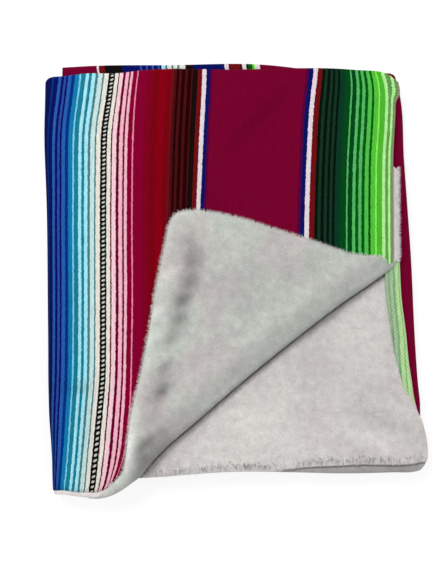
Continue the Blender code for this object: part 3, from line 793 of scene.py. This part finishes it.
def makeSecondLining():
    # the plush that the turned corner uncovers, with its lip at the hem
    rows = np.concatenate([spaced(-184 * mm, 16 * mm, 1.8 * mm, 0.55 * mm, 12 * mm, atHigh=False),
                           np.linspace(20 * mm, 188 * mm, 34)])
    right = along(secondSelvedge, rows) - 2 * mm * ramp(rows, -139, 14)
    left = foldStart(rows) - 24 * mm
    shares = spaced(0, 1, 0.006, 0.0022, 0.03, atLow=False)
    x, rowGrid, edge, flatX = layOut(left, right, shares, rows)
    y = fitEnds(rowGrid, along(secondHem, flatX), along(backFold, flatX) - 7 * mm)
    toFront, toRight = y - along(secondHem, flatX), right[:, None] - x
    lip = along(frontLip, flatX) + 0.35 * mm * ripple(flatX, 0, 9 * mm, 33)
    pastLip = toFront > lip + 2 * mm

    # the plush lies on the second serape, and is creased, rounded and pressed in beside the corner's fold
    sunk = sink(flatX, y)
    z = cloth["secondZ"] - sunk + plushNap(flatX, y) * smooth((x - edge) / (8 * mm))
    z = z + 0.8 * mm * ripple(flatX, y, 70 * mm, 31) * (foldX(y) < x)
    creased = creaseDepth(secondCreases, x, y)
    under = smooth((lip + 0.5 * mm - toFront) / (1.4 * mm)) * smooth(lip / (2 * mm))
    z = z - creased - secondPlush["lipDrop"] * under
    z = z - secondPlush["lipGroove"] * bell(toFront - lip + 0.4 * mm, 0.7 * mm) * smooth(lip / mm)
    bed = cloth["stackZ"] + cloth["gap"] + cloth["face"] - sunk + 0.9 * mm
    z = np.where(pastLip, np.maximum(z, bed), z)
    z = z - secondPlush["frontDrop"] * roundOver(toFront, secondPlush["edgeRound"])
    z = z - secondPlush["rightDrop"] * roundOver(toRight, secondPlush["edgeRound"])
    a, out = turnPlace(flatX, y)
    beyond = along(foldEdge, a) - out       # how far out from under the turned corner's fold
    z = z - secondPlush["foldGroove"] * bell(np.maximum(beyond - 0.5 * mm, 0), 3 * mm) * (beyond > -6 * mm)
    z = np.where(pastLip, np.maximum(z, bed), z)

    tone = 1 - secondPlush["creaseShade"] * creased
    tone = tone + secondPlush["frontLight"] * ramp(-y, 110, 50) * smooth((110 * mm - flatX) / (60 * mm))
    tone = tone - secondPlush["lipShade"] * under
    tone = tone - secondPlush["lipShade"] * bell(toFront - lip + 0.3 * mm, 0.8 * mm) * smooth(lip / (3 * mm))
    tone = tone - secondPlush["foldShade"] * bell(beyond - 0.3 * mm, 0.9 * mm)
    tone = tone + 0.03 * ripple(flatX, y, 40 * mm, 34) + 0.02 * ripple(flatX, y, 12 * mm, 35)
    tone = tone - secondPlush["nearFoldShade"] * bell(np.maximum(beyond, 0), 9 * mm)

    outer = topHeight(flatX, y)
    piece = addSheet("secondLining", np.stack(sideFold(x, y, outer, outer - z, -176 * mm), 2), tone=tone)
    finishCloth(piece, cloth["plush"] - 0.2 * mm, plushTop, rim=0.9 * mm)
    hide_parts("lining_second")


secondRoll = {
    "columns": 90, "steps": 13, "radius": 2.8 * mm, "flatRadius": 0.8 * mm, "turned": 0.6,
    "pastEdge": 3.4 * mm,
}


def makeSecondFace():
    # under the second plush, with its selvedge rolled up over it at the right
    rows = np.linspace(-181 * mm, 186 * mm, 100)
    flat, roll = np.linspace(0, 1, secondRoll["columns"]), np.linspace(0, 1, secondRoll["steps"] + 1)[1:]
    hidden = smooth((14 * mm - rows) / (6 * mm))        # no roll under the upper thirds
    radius = mix(secondRoll["flatRadius"], secondRoll["radius"], hidden * ramp(rows, -136, 30))
    width = np.maximum(along(rolledSelvedge, rows) * hidden, 0.2 * mm)
    left = foldStart(rows) - 20 * mm
    inner = along(secondSelvedge, rows) - secondRoll["pastEdge"]
    x = mix(left[:, None], inner[:, None], flat[None])
    x = np.concatenate([x, np.repeat(inner[:, None], len(roll), 1)], 1)
    rowGrid = np.repeat(rows[:, None], x.shape[1], 1)
    flatX = np.maximum(x, foldStart(rowGrid))
    hem = along(secondHem, flatX) + 3 * mm + 8 * mm * ramp(flatX, 20, 30)
    y = fitEnds(rowGrid, hem, along(backFold, flatX) - 4.8 * mm)
    outer = topHeight(flatX, y)
    base = cloth["stackZ"] + cloth["gap"] - sink(flatX, y)
    px, py, pz = sideFold(x, y, outer, outer - base, -172 * mm)
    for k, share in enumerate(roll):
        at = len(flat) + k
        angle = math.pi * min(1, share / secondRoll["turned"])
        onward = max(0, share - secondRoll["turned"]) / (1 - secondRoll["turned"])
        px[:, at] = inner + radius * 1.02 * math.sin(angle) - onward * width + 0.5 * mm
        pz[:, at] = (cloth["stackZ"] + cloth["gap"] - sink(inner, y[:, at])
                     + radius * (1 - math.cos(angle)))
    s = np.stack([warpS(px[k], 40 * mm) for k in range(len(rows))])
    reverse = stripeEdges[-1] - sum(wide for _, wide in reverseBand) * mm
    s[:, len(flat):] = reverse + np.clip(roll[None] - 0.3, 0, 1) / 0.7 * (width + 1 * mm)[:, None]
    piece = addSheet("secondFace", np.stack([px, py, pz], 2), np.stack([s, rowGrid, np.zeros_like(s)], 2))
    piece.data.flip_normals()
    finishCloth(piece, cloth["face"], serapeWeave)
    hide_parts("face_second", "face_second_roll")


stack = {  # the two lower thirds
    "radius": cloth["stackZ"] / 2, "foldS": 669 * mm, "rows": 90, "front": -170 * mm, "back": 190 * mm,
    "bendColumns": 16, "upperGap": 16.3 * mm, "lowerGap": 0.4 * mm, "bendRadius": 4.1 * mm, "bendSteps": 8,
}
stackHem = [(-176, -170), (-60, -168.5), (0, -168), (90, -170), (176, -172)]
stackBackHigh = [(-160, 201.9), (-134, 203.5), (-60, 204.4), (40, 204.2), (66, 201), (100, 195.4),
                 (158, 196)]
stackBackLow = [(-176, 178), (-120, 185), (0, 188), (120, 189), (160, 190)]
stackPlies = {  # depth, how far hem and back are drawn in, and columns on each side of the fold
    "stackFace": (0, 0, 4.1 * mm, 120),
    "stackOuterLining": (1.4 * mm, 3.2 * mm, 6 * mm, 60),
    "stackInnerLining": (4.4 * mm, 2.4 * mm, 6 * mm, 60),
    "stackInnerFace": (7.2 * mm, 0.4 * mm, 4.6 * mm, 60),
}


def stackSheet(name, thickness, material):
    # from the middle third's selvedge round the right fold to the left end below
    depth, hemIn, backIn, columns = stackPlies[name]
    r = stack["radius"]
    rows = np.linspace(stack["front"], stack["back"], stack["rows"])
    centre = along(rightFold, rows) - r
    quarter = r * math.pi / 2
    upper = centre - (along(leftFold, rows) + stack["upperGap"]) + quarter
    lower = centre - (foldStart(rows) + stack["lowerGap"]) + quarter
    share = np.linspace(0, 1, columns)[None]
    q = np.concatenate([mix(upper[:, None], quarter, share[:, :-1]),
                        np.linspace(quarter, -quarter, stack["bendColumns"])[None].repeat(len(rows), 0),
                        mix(-quarter, -lower[:, None], share[:, 1:])], 1)
    angle = np.clip(q / r, -math.pi / 2, math.pi / 2)
    rest = np.sign(q) * np.maximum(np.abs(q) - quarter, 0)
    x = centre[:, None] + (r - depth) * np.cos(angle) - np.abs(rest)
    z = r + (r - depth) * np.sin(angle)
    high = smooth((z - r) / (3 * mm) + 0.5)
    back = mix(along(stackBackLow, x), along(stackBackHigh, x), high) - backIn
    uneven = 1.6 * mm * ripple(q, depth, 60 * mm, 41) + 0.8 * mm * ripple(q, depth, 20 * mm, 42)
    rowGrid = np.repeat(rows[:, None], q.shape[1], 1)
    points = np.stack([x, fitEnds(rowGrid, along(stackHem, x) - hemIn + uneven, back), z], 2)
    weaveAt = np.stack([stack["foldS"] + q, rowGrid, np.zeros_like(q)], 2)
    if name == "stackFace":      # the outer cloth turns in at the back
        radius, steps = stack["bendRadius"], stack["bendSteps"]
        points, weaveAt = backBend(points, radius, steps), backWeave(weaveAt, radius, steps)
    piece = addSheet(name, points, weaveAt)
    finishCloth(piece, thickness, material)
    return piece


def makeStack():
    outer = stackSheet("stackFace", cloth["face"], serapeWeave)
    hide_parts("hidden_layers")
    lining = stackSheet("stackOuterLining", cloth["plush"], plushTop)
    lining = stackSheet("stackInnerLining", cloth["plush"], plushTop)
    inner = stackSheet("stackInnerFace", cloth["face"], serapeWeave)


fuzz = {"perMetre": 6000, "seed": 6, "unruly": 0.35, "rise": 0.2 * mm}


def makeFuzz(name, roots, towards, lengths, tones, share=1.0, spread=0.35 * mm, width=0.4 * mm):
    # loose fibres as slim spikes, from points along an edge and the way they lean
    roots = np.stack(roots, 1)
    towards = np.broadcast_to(towards, roots.shape)
    random = np.random.default_rng(fuzz["seed"])
    walked = np.concatenate([[0], np.cumsum(np.linalg.norm(np.diff(roots, axis=0), axis=1))])
    count = round(walked[-1] * fuzz["perMetre"] * share)
    places = random.uniform(0, walked[-1], count)
    base = np.stack([np.interp(places, walked, roots[:, k]) for k in range(3)], 1)
    lean = np.stack([np.interp(places, walked, towards[:, k]) for k in range(3)], 1)
    lean = lean + random.normal(0, fuzz["unruly"], (count, 3))
    lean /= np.linalg.norm(lean, axis=1)[:, None]
    base = base + random.normal(0, 1, (count, 3)) * [spread, spread, fuzz["rise"]]
    size = random.uniform(lengths[0] * mm, lengths[1] * mm, count)[:, None]
    aside = np.cross(lean, [0, 0, 1])
    aside /= np.linalg.norm(aside, axis=1)[:, None]
    above = np.cross(aside, lean)
    r = width / 2
    corners = [base + aside * r - above * r / 2, base - aside * r - above * r / 2, base + above * r,
               base + lean * size]
    points = np.stack(corners, 1).reshape(-1, 3)
    first = np.arange(count)[:, None] * 4
    faces = np.concatenate([first + k for k in ([0, 1, 2], [0, 3, 1], [1, 3, 2], [2, 3, 0])])
    mesh = bpy.data.meshes.new(name)
    mesh.from_pydata(points.tolist(), [], faces.tolist())
    shades = np.repeat(random.uniform(*tones, count), 4).astype(np.float32)
    mesh.attributes.new("tone", "FLOAT", "POINT").data.foreach_set("value", shades)
    mesh.materials.append(looseFibres)
    mesh.update()
    piece = bpy.data.objects.new(name, mesh)
    bpy.context.scene.collection.objects.link(piece)
    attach(piece, "root")
    print("made", name, len(mesh.polygons), "faces")


def makeAllFuzz():
    # free edge of the turned corner
    a = np.linspace(8 * mm, 330 * mm, 260)
    out = along(freeEdge, a)
    x, y = turnPoint(a, out - 0.5 * mm)
    nextX, nextY = turnPoint(a, out + 10 * mm)
    tangent = np.gradient(np.stack([x, y], 1), axis=0)
    normal = np.stack([tangent[:, 1], -tangent[:, 0]], 1)
    normal /= np.linalg.norm(normal, axis=1)[:, None]
    normal = normal * np.sign((normal * np.stack([nextX - x, nextY - y], 1)).sum(1))[:, None]
    makeFuzz("cornerFuzz", (x, y, topHeight(x, y) + 1.2 * mm),
             np.concatenate([normal, np.full((len(a), 1), 0.3)], 1), (1.6, 4), (1, 1.25))
    # dark fibres in the crease where the corner turns over: painted shade along the crease
    a = np.linspace(6 * mm, 288 * mm, 200)
    x, y = turnPoint(a, along(foldEdge, a) - 0.2 * mm)
    z = cloth["secondZ"] - sink(x, y) - 0.4 * mm
    away = np.gradient(np.stack([x, y], 1), axis=0)
    away = np.stack([-away[:, 1], away[:, 0], np.full(len(a), 0.0003)], 1)
    makeFuzz("creaseShadeFuzz", (x, y, z), away / np.linalg.norm(away, axis=1)[:, None],
             (0.8, 1.8), (0.2, 0.5), share=0.5)
    # the upper plush past its selvedge
    y = np.linspace(98 * mm, 8 * mm, 90)
    x = along(warpLines[0][1], y) + 4 * mm
    z = topHeight(x, y) - 1.7 * mm
    makeFuzz("topFuzz", (x, y, z), (1, -0.1, 0.3), (2, 4.4), (0.95, 1.25), share=1.6)
    # the second ply's front edge, hanging over its lip
    x = np.linspace(-70 * mm, 172 * mm, 160)
    y = along(secondHem, x) + along(frontLip, x) + 5.6 * mm
    z = cloth["secondZ"] - sink(x, y) + 0.35 * mm
    makeFuzz("frontFuzz", (x, y, z), (0, -1, -0.12), (2.5, 5.5), (0.55, 1.2),
             share=0.5, spread=1.5 * mm, width=0.8 * mm)
    # beside the rolled selvedge
    y = np.linspace(4 * mm, -126 * mm, 90)
    x = along(secondSelvedge, y) - along(rolledSelvedge, y) - 1.2 * mm
    z = np.full(len(y), cloth["secondZ"] + 0.6 * mm)
    makeFuzz("secondFuzz", (x, y, z), (1, -0.2, 0.5), (1, 2.2), (0.95, 1.15))


camera = {"target": (-12.5 * mm, -15.4 * mm, 14 * mm), "distance": 1.0, "tilt": math.radians(12),
          "lens": 67.8}
lights = [  # name, place in metres, size, watts, colour
    ("key", (-0.7, 0.9, 1.6), 1.0, 17, (1, 0.99, 0.97)),
    ("fill", (0.9, -0.5, 1.4), 1.4, 6, (0.97, 0.98, 1)),
]
studio = {"worldStrength": 0.5, "floorSize": 60, "floorGrey": 0.25, "floorGlow": 0.8}


def makeCamera():
    data = bpy.data.cameras.new("camera")
    data.lens = camera["lens"]
    data.sensor_width = 36
    eye = bpy.data.objects.new("camera", data)
    x, y, z = camera["target"]
    distance, tilt = camera["distance"], camera["tilt"]
    eye.location = (x, y - distance * math.sin(tilt), z + distance * math.cos(tilt))
    eye.rotation_euler = (tilt, 0, 0)
    bpy.context.scene.collection.objects.link(eye)
    bpy.context.scene.camera = eye


def makeLights():
    for name, place, size, power, colour in lights:
        data = bpy.data.lights.new(name, "AREA")
        data.shape = "DISK"
        data.size = size
        data.energy = power
        data.color = colour
        lamp = bpy.data.objects.new(name, data)
        x, y, z = lamp.location = place
        lamp.rotation_euler = (math.atan2(math.hypot(x, y), z), 0, math.atan2(x, -y))      # faces the blanket
        bpy.context.scene.collection.objects.link(lamp)
    world = bpy.data.worlds.new("studio")
    world.use_nodes = True
    world.node_tree.nodes["Background"].inputs["Color"].default_value = (1, 1, 1, 1)
    world.node_tree.nodes["Background"].inputs["Strength"].default_value = studio["worldStrength"]
    bpy.context.scene.world = world
    bpy.context.scene.view_settings.view_transform = "Standard"


def makeFloor():
    bpy.ops.object.select_all(action="DESELECT")
    bpy.ops.mesh.primitive_plane_add(size=studio["floorSize"], location=(0, 0, -0.2 * mm))
    floor = bpy.context.object
    floor.name = "floor"
    material, _, shader = newMaterial("pale floor", 0.9)
    shader.inputs["Base Color"].default_value = (*[studio["floorGrey"]] * 3, 1)
    shader.inputs["Emission Color"].default_value = (1, 1, 1, 1)
    shader.inputs["Emission Strength"].default_value = studio["floorGlow"]
    floor.data.materials.append(material)


makeStack()
makeSecondFace()
makeSecondLining()
makeTopLining()
makeTopFace()
makeCornerFace()
makeCorner()
makeAllFuzz()
makeCamera()
makeLights()
makeFloor()
print("camera, lights and floor are set")
